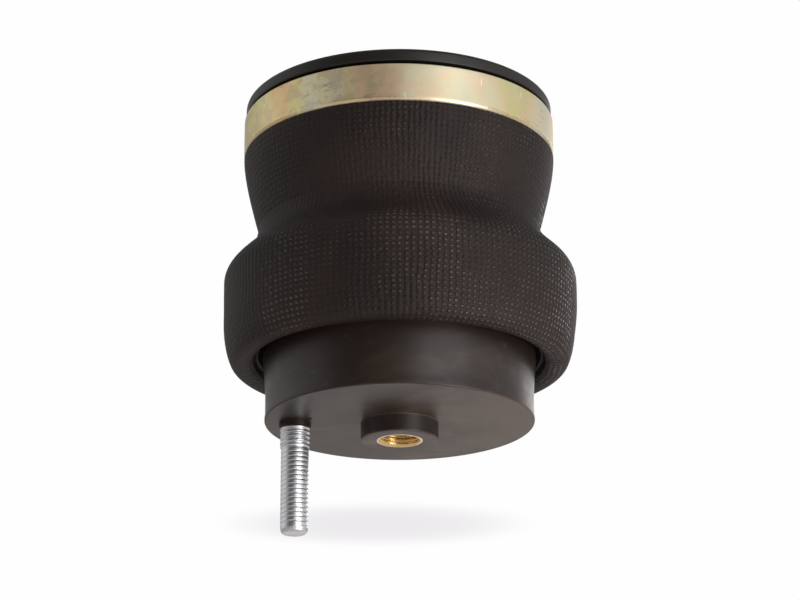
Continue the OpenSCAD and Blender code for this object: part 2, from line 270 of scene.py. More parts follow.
belly = (LOBE_R, BELLY_Z)
corner = arc(*FOOT_MID, FOOT_ROUND, FOOT_ROUND, 0, -15, 1)[0]
lobe_face = [WAIST]
lobe_face += sweep(WAIST, (39.2, 45.1), (LOBE_R + 0.15, 44.6), belly, 34)
lobe_face += bow(belly, (LOBE_R + 0.15, 22.0), corner, 22)
lobe_face += arc(*FOOT_MID, FOOT_ROUND, FOOT_ROUND, -15, -90, 12)
lobe_face += arc(FOOT_MID[0], FOOT_MID[1] - 0.6, 3.8, 2.6, -90, -165, 12)
# The lobe doesn't lie close to the wall at its foot: a narrow gap, with a thin fold just inside its lip
lip = lobe_face[-1]
fold = (lip[0] - 0.75, lip[1] + 1.1)
lobe_face += bow(lip, (lip[0] - 0.05, lip[1] + 1.0), fold, 5)
lobe_face += bow(fold, (fold[0] - 0.3, fold[1] + 0.1), (fold[0] - 0.35, fold[1] + 0.6), 3)
lobe_face += bow(lobe_face[-1], (RUN_R + 0.1, TURN_TOP - 2.5), (RUN_R, TURN_TOP), 5)

run_face = [(RUN_R, TURN_TOP + (DECK_Z - DECK_ROUND - TURN_TOP) * i / 12) for i in range(13)]
run_face += arc(WALL_R - DECK_ROUND, DECK_Z - DECK_ROUND, DECK_ROUND + 0.1, DECK_ROUND + 0.1, 0, 90, 10)
run_face += arc(NECK_R + 2.9, DECK_Z + 2.9, 2.8, 2.8, -90, -180, 8)
run_face += [(NECK_R + 0.1, NECK_TOP)]

# The three lengths of one sleeve meet at the waist and at the foot of the wall. The rubber is a little
# thinner at the waist and over the piston's shoulder, so that one passes the other at full compression
cloth_face = upper_face + lobe_face[1:] + run_face[1:]
thick = [SLEEVE_T - WAIST_THIN * max(0.0, 1 - abs(z - WAIST[1]) / WAIST_REACH)
         for r, z in upper_face + lobe_face[1:]]
thick += [SLEEVE_T - RUN_THIN * min(1.0, (z - TURN_TOP) / RUN_REACH) for r, z in run_face[1:]]
air_face = beside(cloth_face, thick)
at_waist = len(upper_face) - 1
at_turn = at_waist + len(lobe_face) - 1
air_face[at_waist] = (WAIST[0] - SLEEVE_T + WAIST_THIN, WAIST[1])
cloth_run = lengths(cloth_face)


def sleeve_length(name, first, last):
    """One length of the sleeve between two points of its whole outline, with both its faces."""
    outline = cloth_face[first:last + 1] + air_face[first:last + 1][::-1]
    runs = cloth_run[first:last + 1]
    piece = turn(name, outline, runs=runs + runs[::-1])
    lay_cloth(piece)
    return smooth(piece, 50)


def lay_cloth(piece):
    """Maps the cloth's print: U is the turn round the axis, V the distance along the sleeve in metres."""
    mesh = piece.data
    cloth = mesh.uv_layers.new(name="cloth")
    along = mesh.attributes["along"].data
    for face in mesh.polygons:
        middle = math.atan2(face.center.y, face.center.x)
        for corner_id in face.loop_indices:
            v = mesh.loops[corner_id].vertex_index
            here = math.atan2(mesh.vertices[v].co.y, mesh.vertices[v].co.x)
            here = middle + math.remainder(here - middle, math.tau)
            cloth.data[corner_id].uv = (here / math.tau, along[v].value)


def nudge(piece, low, high, across, reach):
    """Pushes the rubber between two heights a little to the right; the push fades out over the reach."""
    pick(piece)
    bpy.ops.object.mode_set(mode="EDIT")
    bpy.ops.mesh.select_all(action="DESELECT")
    bpy.ops.object.mode_set(mode="OBJECT")
    for v in piece.data.vertices:
        v.select = low <= v.co.z / MM <= high
    bpy.ops.object.mode_set(mode="EDIT")
    bpy.ops.transform.translate(value=(across * MM, 0, 0), use_proportional_edit=True,
                                proportional_edit_falloff="SMOOTH", proportional_size=reach * MM)
    bpy.ops.object.mode_set(mode="OBJECT")


sleeve_upper = sleeve_length("sleeve_upper", 0, at_waist)
sleeve_lobe = sleeve_length("sleeve_lobe", at_waist, at_turn)
nudge(sleeve_lobe, 44, 47, 0.6, 7)
nudge(sleeve_lobe, 31, 37, 0.3, 8)
sleeve_run = sleeve_length("sleeve_run", at_turn, len(cloth_face) - 1)


# The crimp ring

RING_T = 1.0
RING_EDGE = 0.4
LIP_TOP = 1.05


def make_crimp_band():
    """The upper ring: pressed sheet with a turned-in lower edge and a very slight belly."""
    inner = RING_R - RING_T
    lip = (RING_R - 0.09, RING_Z + 0.68)
    lip_top = (RING_R, RING_Z + LIP_TOP)
    outline = [(inner, RING_Z + 0.1), (inner + 0.15, RING_Z), (RING_R - 0.55, RING_Z)]
    outline += [(RING_R - 0.5, RING_Z + 0.03), lip]
    outline += bow(lip, (RING_R, RING_Z + 0.84), lip_top, 4)
    outline += bow(lip_top, (RING_R + 0.03, RING_Z + 5), (RING_R, RING_TOP - RING_EDGE), 10)
    outline += arc(RING_R - RING_EDGE, RING_TOP - RING_EDGE, RING_EDGE, RING_EDGE, 0, 90, 6)
    outline += [(inner + 0.15, RING_TOP), (inner, RING_TOP - 0.1)]
    return smooth(turn("crimp_band", outline), 28)


crimp_band = make_crimp_band()


# The cover

SKIRT_R = 39.25
SKIRT_IN_R = 35.85
SKIRT_Z = 74.0
SKIRT_EDGE = 0.6
SEAL_GROOVES = (77.6, 80.2, 82.8)
SEAL_DEPTH = 0.6
PLATE_Z = 85.5
FLANGE_ROUND = 1.2
HUB_R = 9.0
SPOKE_T = 2.4
SPOKE_Z = 80.5
POCKET_R = 35.0
POCKET_DEPTH = 2.2
PILLAR_R = 7.8
TOP_SEAT_R = 5.55
TOP_SEAT_Z = 80.95
SOFT_EDGE = 0.25


def make_cover():
    """The cover: flange and grooved skirt turned as one, with shallow pockets, ribs and pillars."""
    outline = [(0, PLATE_Z), (SKIRT_IN_R - 1, PLATE_Z)]
    outline += arc(SKIRT_IN_R - 1, PLATE_Z - 1, 1, 1, 90, 0, 5)
    outline += [(SKIRT_IN_R, SKIRT_Z + SKIRT_EDGE), (SKIRT_IN_R + SKIRT_EDGE, SKIRT_Z)]
    outline += [(SKIRT_R - SKIRT_EDGE, SKIRT_Z), (SKIRT_R, SKIRT_Z + SKIRT_EDGE)]
    for groove in SEAL_GROOVES:
        outline += [(SKIRT_R, groove - 0.6), (SKIRT_R - SEAL_DEPTH, groove - 0.3)]
        outline += [(SKIRT_R - SEAL_DEPTH, groove + 0.3), (SKIRT_R, groove + 0.6)]
    outline += [(SKIRT_R, FLANGE_Z), (FLANGE_R - 0.4, FLANGE_Z)]
    outline += arc(FLANGE_R - 0.4, FLANGE_Z + 0.4, 0.4, 0.4, -90, 0, 5)
    outline += [(FLANGE_R, COVER_Z - FLANGE_ROUND)]
    outline += arc(FLANGE_R - FLANGE_ROUND, COVER_Z - FLANGE_ROUND, FLANGE_ROUND, FLANGE_ROUND, 0, 90, 8)
    outline += [(FLANGE_R - 7, COVER_Z), (0, COVER_Z)]
    cover = turn("cover", outline, closed=False)

    ribs = bar(2 * 37, SPOKE_T, SPOKE_Z, 86, 0)
    for i in range(1, 4):
        cut_with(ribs, bar(2 * 37, SPOKE_T, SPOKE_Z, 86, 45 * i), "UNION")
    cut_with(ribs, rod(HUB_R, 79, 87))
    cut_with(cover, ribs, "UNION")
    pocket = rod(POCKET_R, COVER_Z - POCKET_DEPTH, COVER_Z + 1, sides=SIDES)
    cut_with(pocket, rod(HUB_R, 80, 95))
    for i in range(4):
        cut_with(pocket, bar(90, SPOKE_T, 80, 95, 45 * i))
    for side in (-1, 1):
        cut_with(pocket, rod(PILLAR_R, 80, 95, side * INSERT_X))
        cut_with(cover, rod(PILLAR_R, 79.5, 86.5, side * INSERT_X), "UNION")
        cut_with(cover, rod(TOP_SEAT_R, TOP_SEAT_Z, 92, side * INSERT_X))
    cut_with(cover, pocket)
    edges = cover.modifiers.new("soft edges", "BEVEL")
    edges.width = SOFT_EDGE * MM
    edges.segments = 2
    edges.limit_method = "ANGLE"
    edges.angle_limit = math.radians(50)
    pick(cover)
    bpy.ops.object.modifier_apply(modifier=edges.name)
    return smooth(cover)


cover = make_cover()


# The piston

CAVITY_R = 33.3
CAVITY_TOP = 40
FLOOR_Z = 5
COLUMN_R = 9
COLUMN_TOP = 35.95
BARB_ROOM_R = 4
BARB_ROOM_Z = 31
AIR_WAY_R = 3.5
PORT_SEAT_R = 6.15
PORT_SEAT_Z = 6.25
FACE_EDGE = 0.4
SIDE_RIB_T = 2.2
AIR_SLOT_T = 3
STUD_BOSS_R = 7.22
STUD_COLLAR = (4.25, -1.3)
STUD_SEAT_R = 3.4
HEAD_SEAT_R = 5.82


def make_piston_shell():
    """The moulded piston: face, boss, side with its foot, and the column, ribs and pillar inside."""
    outline = [(AIR_WAY_R, PORT_SEAT_Z), (PORT_SEAT_R, PORT_SEAT_Z)]
    outline += [(PORT_SEAT_R, BOSS_Z + 0.15), (PORT_SEAT_R + 0.15, BOSS_Z)]
    outline += [(BOSS_R - FACE_EDGE, BOSS_Z)]
    outline += arc(BOSS_R - FACE_EDGE, BOSS_Z + FACE_EDGE, FACE_EDGE, FACE_EDGE, -90, 0, 5)
    outline += [(BOSS_R, -0.15)]
    outline += arc(BOSS_R + 0.15, -0.15, 0.15, 0.15, 180, 90, 3)
    outline += [(20, 0), (30, 0), (FOOT_R - 0.3, 0)]
    outline += arc(FOOT_R - 0.25, FACE_EDGE, FACE_EDGE, FACE_EDGE, -90, 0, 6)
    outline += [(FOOT_R + 0.15, 1.0), (FOOT_R, 1.6), (FOOT_R, 6)]
    outline += bow((FOOT_R, 6), (FOOT_R + 0.1, 10), (WALL_R, 17), 8)
    outline += [(WALL_R, 28), (WALL_R, CAVITY_TOP), (CAVITY_R, CAVITY_TOP), (CAVITY_R, FLOOR_Z)]
    outline += [(COLUMN_R, FLOOR_Z), (COLUMN_R, COLUMN_TOP), (BARB_ROOM_R, COLUMN_TOP)]
    outline += [(BARB_ROOM_R, BARB_ROOM_Z), (AIR_WAY_R, BARB_ROOM_Z)]
    piston = turn("piston_shell", outline)
    ribs = bar(67.4, SIDE_RIB_T, 4.5, 35.9, 0)
    for i in (1, 2):
        cut_with(ribs, bar(67.4, SIDE_RIB_T, 4.5, 35.9, 60 * i), "UNION")
    cut_with(ribs, rod(COLUMN_R - 1, 4, 37))
    cut_with(piston, ribs, "UNION")
    cut_with(piston, rod(STUD_BOSS_R, 4, 12, STUD_X), "UNION")
    cut_with(piston, rod(STUD_COLLAR[0], STUD_COLLAR[1], 1, STUD_X), "UNION")
    cut_with(piston, rod(STUD_SEAT_R, -3, 7.5, STUD_X))
    cut_with(piston, rod(HEAD_SEAT_R, 6.95, 10.65, STUD_X, sides=6))
    for i in range(3):
        cut_with(piston, bar(20, AIR_SLOT_T, 21, 30, 60 * i + 30))
    cut_with(piston, rod(PIT_R, -1, 0.7, PIT[0], PIT[1], sides=16))
    return smooth(piston, 36)


piston_shell = make_piston_shell()


# Stud and inserts

M8_PITCH = 1.25
PORT_PITCH = 1.0
STUD_TIP = -30.0
STUD_STEP = -6.7
STUD_START = -1.35
WORN_R = 3.68
FULL_R = 3.96
STUD_CORE_R = 3.35
HEAD_Z = 7
HEAD_R = 5.77
TOP_BORE_R = 3.4
TOP_INSERT_Z = 81
TOP_INSERT_R = 5.5


def make_stud():
    """The M8 stud: deep turns next to the piston, flattened ones below them, and a rounded point."""
    outline = [(0, STUD_TIP), (2.45, STUD_TIP)]
    outline += bow((2.45, STUD_TIP), (3.3, STUD_TIP), (3.55, STUD_TIP + 0.9), 5)
    outline += [(3.66, STUD_TIP + 1.25), (WORN_R, STUD_TIP + 1.5)]
    outline += wall_rings(WORN_R, STUD_TIP + 1.6, STUD_STEP - 0.1, 0.085)
    outline += wall_rings(FULL_R, STUD_STEP + 0.1, STUD_START - 0.1, 0.085)
    outline += [(3.85, STUD_START), (STUD_CORE_R, STUD_START)]
    outline += [(STUD_CORE_R, HEAD_Z + 0.5), (0, HEAD_Z + 0.5)]
    stud = turn("threaded_stud", outline, sides=FINE_SIDES, closed=False)
    cut_thread(stud, WORN_R, M8_PITCH, STUD_TIP + 1.6, STUD_STEP - 0.1, 0.1, 0.55, 0.1)
    cut_thread(stud, FULL_R, M8_PITCH, STUD_STEP + 0.1, STUD_START - 0.1, 0.5, 0.3)
    cut_with(stud, rod(HEAD_R, HEAD_Z, 10.6, sides=6), "UNION")
    return smooth(move_to(stud, STUD_X), 75)


def make_port():
    """The brass air port: a narrow rim, two grips in the plastic and a fine thread."""
    outline = [(5.5, BOSS_Z + 0.12), (5.64, BOSS_Z), (6.05, BOSS_Z), (PORT_SEAT_R, BOSS_Z + 0.1)]
    for low in (2.2, 6.6):
        outline += [(PORT_SEAT_R, BOSS_Z + low), (5.7, BOSS_Z + low)]
        outline += [(5.7, BOSS_Z + low + 2.2), (PORT_SEAT_R, BOSS_Z + low + 2.2)]
    outline += [(PORT_SEAT_R, 6.2), (PORT_R, 6.2)]
    outline += wall_rings(PORT_R, 6.1, BOSS_Z + 0.25, 0.07)
    port = turn("air_port", outline, sides=FINE_SIDES)
    cut_thread(port, PORT_R, PORT_PITCH, BOSS_Z + 0.25, 6.1, 0.55, 0.1, 0.15)
    return smooth(port, 60)


def make_top_insert(name, x):
    """A blind brass insert in the cover, with a waist that the plastic grips."""
    outline = [(0, TOP_INSERT_Z), (TOP_INSERT_R, TOP_INSERT_Z), (TOP_INSERT_R, 84.6), (4.9, 84.6)]
    outline += [(4.9, 86.4), (TOP_INSERT_R, 86.4)]
    outline += [(TOP_INSERT_R, COVER_Z - 0.1), (TOP_INSERT_R - 0.1, COVER_Z), (4.2, COVER_Z)]
    outline += wall_rings(TOP_BORE_R, 89.2, 82.2, 0.1)
    outline += [(3.0, 82), (0, 82)]
    insert = turn(name, outline, sides=FINE_SIDES, closed=False)
    cut_thread(insert, TOP_BORE_R, M8_PITCH, 82.2, 89.2, -0.55, 0.2)
    return smooth(move_to(insert, x), 75)


threaded_stud = make_stud()
air_port = make_port()
left_insert = make_top_insert("screw_insert_left", -INSERT_X)
right_insert = make_top_insert("screw_insert_right", INSERT_X)


# Shader groups

def new_group(name, inputs, outputs):
    """An empty shader node group; returns it with its input and output nodes."""
    group = bpy.data.node_groups.new(name, "ShaderNodeTree")
    for label, kind, value in inputs:
        socket = group.interface.new_socket(name=label, in_out="INPUT", socket_type=kind)
        if value is not None:
            socket.default_value = value
    for label, kind in outputs:
        group.interface.new_socket(name=label, in_out="OUTPUT", socket_type=kind)
    return group, group.nodes.new("NodeGroupInput"), group.nodes.new("NodeGroupOutput")


def math_node(tree, operation, a, b=None, c=None):
    """A maths node on sockets or plain numbers; returns its result."""
    node = tree.nodes.new("ShaderNodeMath")
    node.operation = operation
    for socket, value in zip(node.inputs, (a, b, c)):
        if value is None:
            continue
        if isinstance(value, (int, float)):
            socket.default_value = value
        else:
            tree.links.new(value, socket)
    return node.outputs[0]


def noise_node(tree, vector, scale, detail=3.0, stretch=(1, 1, 1), roughness=0.5):
    """Noise over a vector, stretched along its axes; returns its value."""
    mapping = tree.nodes.new("ShaderNodeMapping")
    mapping.inputs["Scale"].default_value = stretch
    noise = tree.nodes.new("ShaderNodeTexNoise")
    noise.inputs["Scale"].default_value = scale
    noise.inputs["Detail"].default_value = detail
    noise.inputs["Roughness"].default_value = roughness
    tree.links.new(vector, mapping.inputs["Vector"])
    tree.links.new(mapping.outputs["Vector"], noise.inputs["Vector"])
    return noise.outputs["Fac"]


def ranged(tree, value, low, high, to_low=0.0, to_high=1.0):
    """Takes a stretch of values to another, kept inside it."""
    node = tree.nodes.new("ShaderNodeMapRange")
    node.interpolation_type = "SMOOTHSTEP"
    for name, number in (("From Min", low), ("From Max", high), ("To Min", to_low), ("To Max", to_high)):
        node.inputs[name].default_value = number
    tree.links.new(value, node.inputs["Value"])
    return node.outputs["Result"]


def ramp_node(tree, value, stops):
    """Colours set out by the angle round the spring, from -180 to 180 degrees."""
    node = tree.nodes.new("ShaderNodeValToRGB")
    node.color_ramp.interpolation = "EASE"
    elements = node.color_ramp.elements
    while len(elements) < len(stops):
        elements.new(0.5)
    for element, (degrees, colour) in zip(elements, stops):
        element.position = degrees / 360 + 0.5
        element.color = (*colour, 1)
    tree.links.new(value, node.inputs["Fac"])
    return node.outputs["Color"]


def mixed(tree, factor, first, second):
    """Two colours mixed by a socket or a number; each colour is a socket or three numbers."""
    node = tree.nodes.new("ShaderNodeMix")
    node.data_type = "RGBA"
    for name, value in (("Factor", factor), ("A", first), ("B", second)):
        socket = node.inputs[name]
        if isinstance(value, (int, float)):
            socket.default_value = value
        elif isinstance(value, tuple):
            socket.default_value = (*value, 1)
        else:
            tree.links.new(value, socket)
    return node.outputs["Result"]


THREADS_ROUND = 179.0
THREAD_STEP = 0.00143
# The side the key light falls on, where the print's pale tips carry painted highlight
LIT_SIDE = (3.2, -4.6, 0)


def cloth_print_group():
    """The print of the wrapping cloth in rubber: small raised points between crossing threads."""
    group, given, result = new_group(
        "cloth_print",
        [("Map", "NodeSocketVector", None), ("Place", "NodeSocketVector", None),
         ("Threads Round", "NodeSocketFloat", THREADS_ROUND),
         ("Thread Step", "NodeSocketFloat", THREAD_STEP)],
        [("Height", "NodeSocketFloat"), ("Points", "NodeSocketFloat")])
    split = group.nodes.new("ShaderNodeSeparateXYZ")
    group.links.new(given.outputs["Map"], split.inputs[0])
    place = given.outputs["Place"]
    wander = math_node(group, "SUBTRACT", noise_node(group, place, 140, 2), 0.5)
    around = math_node(group, "MULTIPLY", split.outputs["X"], given.outputs["Threads Round"])
    around = math_node(group, "MULTIPLY_ADD", wander, 0.6, around)
    along = math_node(group, "DIVIDE", split.outputs["Y"], given.outputs["Thread Step"])
    along = math_node(group, "MULTIPLY_ADD", wander, -0.7, along)
    waves = []
    for count in (around, along):
        wave = math_node(group, "SINE", math_node(group, "MULTIPLY", count, math.tau))
        waves.append(math_node(group, "MULTIPLY_ADD", wave, 0.5, 0.5))
    mesh_cell = group.nodes.new("ShaderNodeCombineXYZ")
    for socket, count in zip(mesh_cell.inputs, (around, along)):
        group.links.new(math_node(group, "FLOOR", math_node(group, "ADD", count, 0.25)), socket)
    odd_cell = group.nodes.new("ShaderNodeTexWhiteNoise")
    odd_cell.noise_dimensions = "2D"
    group.links.new(mesh_cell.outputs[0], odd_cell.inputs["Vector"])
    uneven = math_node(group, "MULTIPLY_ADD", odd_cell.outputs["Value"], 0.6, 0.55)
    points = ranged(group, math_node(group, "MULTIPLY", waves[0], waves[1]), 0.2, 0.75)
    points = math_node(group, "MULTIPLY", points, uneven)
    upright = ranged(group, noise_node(group, place, 38, 2, (1, 1, 0.5)), 0.42, 0.62, 0.1, 1.0)
    level = ranged(group, noise_node(group, place, 30, 2, (0.5, 0.5, 1)), 0.46, 0.64, 0.1, 1.0)
    ribs = math_node(group, "ADD", math_node(group, "MULTIPLY", waves[0], upright),
                     math_node(group, "MULTIPLY", waves[1], level))
    # The print is made clearest on the front-right side, where the key light falls, and the noise varies it
    # at random; on the points' pale tips this is painted highlight
    pressed = group.nodes.new("ShaderNodeVectorMath")
    pressed.operation = "DOT_PRODUCT"
    pressed.inputs[1].default_value = LIT_SIDE
    group.links.new(place, pressed.inputs[0])
    clear = math_node(group, "ADD", noise_node(group, place, 45, 2), pressed.outputs["Value"])
    clear = ranged(group, clear, 0.54, 0.8, 0.14, 1.0)
    points = math_node(group, "MULTIPLY", points, clear)
    height = math_node(group, "MULTIPLY_ADD", ribs, 0.13, points)
    height = math_node(group, "MULTIPLY_ADD", noise_node(group, place, 900, 3), 0.6, height)
    group.links.new(height, result.inputs["Height"])
    group.links.new(points, result.inputs["Points"])
    return group


def scuff_group():
    """Handling marks on moulded plastic: faint flow streaks, fine scratches and a fine grain."""
    group, given, result = new_group(
        "handling_marks",
        [("Place", "NodeSocketVector", None)],
        [("Streaks", "NodeSocketFloat"), ("Scratches", "NodeSocketFloat"), ("Grain", "NodeSocketFloat")])
    place = given.outputs["Place"]
    streaks = ranged(group, noise_node(group, place, 60, 4, (0.5, 1.6, 1.6), 0.6), 0.5, 0.75)
    fine = noise_node(group, place, 260, 2, (0.12, 1.8, 1.8), 0.5)
    scratches = ranged(group, fine, 0.66, 0.74)
    grain = noise_node(group, place, 2600, 2)
    for value, name in ((streaks, "Streaks"), (scratches, "Scratches"), (grain, "Grain")):
        group.links.new(value, result.inputs[name])
    return group


def bloom_group():
    """The patches of tint in a passivated zinc coat, wrapped round the axis, with pits and rubs."""
    group, given, result = new_group(
        "plating_bloom",
        [("Place", "NodeSocketVector", None)],
        [("Patches", "NodeSocketFloat"), ("Drift", "NodeSocketFloat"), ("Pits", "NodeSocketFloat"),
         ("Brushing", "NodeSocketFloat")])
    place = given.outputs["Place"]
    patches = noise_node(group, place, 55, 3, (1, 1, 0.7), 0.55)
    drift = noise_node(group, place, 24, 1, (1, 1, 1.8))
    pits = ranged(group, noise_node(group, place, 330, 4, (0.5, 0.5, 2.0), 0.7), 0.56, 0.7)
    pits = math_node(group, "MULTIPLY", pits, ranged(group, noise_node(group, place, 60, 1), 0.42, 0.56))
    brushing = noise_node(group, place, 500, 2, (1, 1, 9))
    for value, name in ((patches, "Patches"), (drift, "Drift"), (pits, "Pits"), (brushing, "Brushing")):
        group.links.new(value, result.inputs[name])
    return group


cloth_print = cloth_print_group()
handling_marks = scuff_group()
plating_bloom = bloom_group()


# Materials

def new_material(name, roughness, metallic=0.0, specular=0.5):
    """A material with its shader, and the place on the piece to read patterns from."""
    material = bpy.data.materials.new(name)
    material.use_nodes = True
    tree = material.node_tree
    shader = tree.nodes["Principled BSDF"]
    shader.inputs["Roughness"].default_value = roughness
    shader.inputs["Metallic"].default_value = metallic
    shader.inputs["Specular IOR Level"].default_value = specular
    place = tree.nodes.new("ShaderNodeTexCoord").outputs["Object"]
    return material, tree, shader, place


def use_group(tree, group, **links):
    """Places a group in a material; Map and Place name the sockets that feed it."""
    node = tree.nodes.new("ShaderNodeGroup")
    node.node_tree = group
    for name, socket in links.items():
        tree.links.new(socket, node.inputs[name])
    return node


def bumped(tree, shader, height, distance):
    """Feeds a height into the shader's normal."""
    bump = tree.nodes.new("ShaderNodeBump")
    bump.inputs["Distance"].default_value = distance
    bump.inputs["Strength"].default_value = 1.0
    tree.links.new(height, bump.inputs["Height"])
    tree.links.new(bump.outputs["Normal"], shader.inputs["Normal"])


RUBBER = (0.013, 0.0068, 0.0050)
DUSTY_RUBBER = (0.025, 0.0135, 0.0098)
# Pale tips of the points: partly wear, partly painted highlight
WORN_POINT_SHEEN = (0.105, 0.082, 0.068)


def make_sleeve_rubber():
    """Dusty rubber with the print of the wrapping cloth, whose points are smooth and pale, from wear and
    from painted highlight.
    """
    material, tree, shader, place = new_material("sleeve_rubber", 0.5, specular=0.36)
    cloth = tree.nodes.new("ShaderNodeUVMap")
    cloth.uv_map = "cloth"
    marks = use_group(tree, cloth_print, Map=cloth.outputs["UV"], Place=place)
    dust = ranged(tree, noise_node(tree, place, 35, 4), 0.42, 0.7)
    colour = mixed(tree, dust, RUBBER, DUSTY_RUBBER)
    # The points' pale tips: dust and wear, with a painted highlight that is strongest on the lit side
    tips = ranged(tree, marks.outputs["Points"], 0.3, 1.1)
    paler_where_lit = math_node(tree, "MULTIPLY", tips, ranged(tree, dust, 0.0, 1.0, 0.5, 1.0))
    colour = mixed(tree, paler_where_lit, colour, WORN_POINT_SHEEN)
    tree.links.new(colour, shader.inputs["Base Color"])
    rough = ranged(tree, tips, 0.0, 0.8, 0.62, 0.26)
    tree.links.new(rough, shader.inputs["Roughness"])
    bumped(tree, shader, marks.outputs["Height"], 0.00055)
    return material


def make_moulded_plastic(name, dark, light, roughness, grain, specular=0.5, paler_where_lit=None):
    """Moulded plastic or rubber, streaked and scratched; its bottom face may also be painted paler in
    patches, as painted light.
    """
    material, tree, shader, place = new_material(name, roughness, specular=specular)
    marks = use_group(tree, handling_marks, Place=place)
    colour = mixed(tree, marks.outputs["Streaks"], dark, light)
    if paler_where_lit:
        split = tree.nodes.new("ShaderNodeSeparateXYZ")
        tree.links.new(place, split.inputs[0])
        # Painted light: the face's half away from the stud is painted paler in cloudy patches, as if lit
        # more; the boss's wall and the side aren't
        cloudy = noise_node(tree, place, 45, 4, (1, 1, 1), 0.6)
        lit_half = math_node(tree, "MULTIPLY_ADD", split.outputs["X"], 6.0, cloudy)
        lit_half = math_node(tree, "MULTIPLY", ranged(tree, lit_half, 0.4, 0.75),
                         ranged(tree, split.outputs["Z"], 0.1 * MM, 0.5 * MM, 1.0, 0.0))
        off_wall = math_node(tree, "ABSOLUTE", math_node(tree, "ADD", split.outputs["Z"], -BOSS_Z / 2 * MM))
        off_wall = ranged(tree, off_wall, (-BOSS_Z / 2 - 0.4) * MM, (-BOSS_Z / 2 - 0.2) * MM)
        colour = mixed(tree, math_node(tree, "MULTIPLY", lit_half, off_wall), colour, paler_where_lit)
    scratch_colour = tuple(min(1, c * 2.2) for c in light)
    scratched = math_node(tree, "MULTIPLY", marks.outputs["Scratches"], 0.35)
    colour = mixed(tree, scratched, colour, scratch_colour)
    tree.links.new(colour, shader.inputs["Base Color"])
    rough = ranged(tree, marks.outputs["Streaks"], 0.0, 1.0, roughness, roughness - 0.07)
    tree.links.new(rough, shader.inputs["Roughness"])
    height = math_node(tree, "MULTIPLY_ADD", marks.outputs["Scratches"], -0.4, marks.outputs["Grain"])
    bumped(tree, shader, height, grain)
    return material


# Tints of the yellow passivation
LILAC = (0.92, 0.86, 0.66)
OLIVE = (0.93, 0.86, 0.42)
PEACH = (0.98, 0.66, 0.33)
STRAW = (0.95, 0.83, 0.44)
ROSE = (0.96, 0.71, 0.46)
CREAM = (0.94, 0.85, 0.62)
DULL_ROSE = tuple(c * 0.8 for c in ROSE)
DULL_STRAW = tuple(c * 0.82 for c in STRAW)
DRAB = (0.66, 0.64, 0.46)
RUBBED_ZINC = (0.95, 0.92, 0.80)
PIT_BROWN = (0.20, 0.16, 0.09)
# The bands of tint: the angle from the front, the tint and how deep it is. The tints are the coat's own;
# the depths, lower on the front and right of the ring and higher on its left, are painted shade and light
TINTS = ((-180, STRAW, 0.8), (-150, ROSE, 0.8), (-128, CREAM, 0.78), (-105, OLIVE, 0.78), (-88, STRAW, 0.8),
         (-73, LILAC, 0.78), (-66, OLIVE, 0.9), (-58, STRAW, 1.0), (-50, PEACH, 1.0), (-45, PEACH, 1.0),
         (-40, STRAW, 1.03), (-34, OLIVE, 1.05), (-29, LILAC, 1.05), (-24, STRAW, 1.0), (-18, ROSE, 0.95),
         (-10, ROSE, 0.64), (-3, ROSE, 0.66), (5, CREAM, 0.74), (14, CREAM, 0.76), (26, LILAC, 0.75),
         (36, CREAM, 0.72), (44, OLIVE, 0.66), (54, STRAW, 0.68), (66, LILAC, 0.75), (84, CREAM, 0.78),
         (104, STRAW, 0.8), (122, ROSE, 0.8), (143, OLIVE, 0.8), (165, CREAM, 0.8), (180, STRAW, 0.8))


def make_yellow_zinc():
    """Yellow-passivated zinc: bands of tint that wander, their depths holding painted shade and light,
    mottled, with rubs and pits.
    """
    material, tree, shader, place = new_material("yellow_zinc", 0.5, metallic=0.66)
    bloom = use_group(tree, plating_bloom, Place=place)
    split = tree.nodes.new("ShaderNodeSeparateXYZ")
    tree.links.new(place, split.inputs[0])
    forward = math_node(tree, "MULTIPLY", split.outputs["Y"], -1.0)
    spot = math_node(tree, "ARCTAN2", split.outputs["X"], forward)
    spot = math_node(tree, "MULTIPLY_ADD", spot, 1 / math.tau, 0.5)
    stray = math_node(tree, "SUBTRACT", bloom.outputs["Patches"], 0.5)
    spot = math_node(tree, "MULTIPLY_ADD", stray, 0.13, spot)
    # The depths paint shade on the ring's front and right and light on its left
    bands = [(degrees, tuple(c * depth for c in tint)) for degrees, tint, depth in TINTS]
    colour = ramp_node(tree, spot, bands)
    soft = ranged(tree, bloom.outputs["Drift"], 0.4, 0.7, 0.0, 0.25)
    colour = mixed(tree, soft, colour, DULL_STRAW)
    mottle = noise_node(tree, place, 150, 5, (1, 1, 1.1), 0.65)
    colour = mixed(tree, ranged(tree, mottle, 0.49, 0.6, 0.0, 0.6), colour, DULL_ROSE)
    colour = mixed(tree, ranged(tree, mottle, 0.47, 0.37, 0.0, 0.5), colour, DRAB)
    rubs = ranged(tree, noise_node(tree, place, 700, 1, (1, 1, 0.25)), 0.72, 0.8, 0.0, 0.7)
    colour = mixed(tree, rubs, colour, RUBBED_ZINC)
    colour = mixed(tree, math_node(tree, "MULTIPLY", bloom.outputs["Pits"], 0.5), colour, PIT_BROWN)
    tree.links.new(colour, shader.inputs["Base Color"])
    rough = ranged(tree, bloom.outputs["Patches"], 0.3, 0.7, 0.38, 0.56)
    # The rolled lower lip is burnished by the crimping tool
    lip = ranged(tree, split.outputs["Z"], (RING_Z + 0.9) * MM, (RING_Z + 1.2) * MM, 1.0, 0.0)
    rough = math_node(tree, "MULTIPLY_ADD", lip, -0.2, rough)
    tree.links.new(rough, shader.inputs["Roughness"])
    height = math_node(tree, "MULTIPLY_ADD", bloom.outputs["Pits"], -0.8, bloom.outputs["Brushing"])
    bumped(tree, shader, height, 0.000012)
    return material


PALE_RIM_REFLECTION = (0.97, 0.90, 0.76)


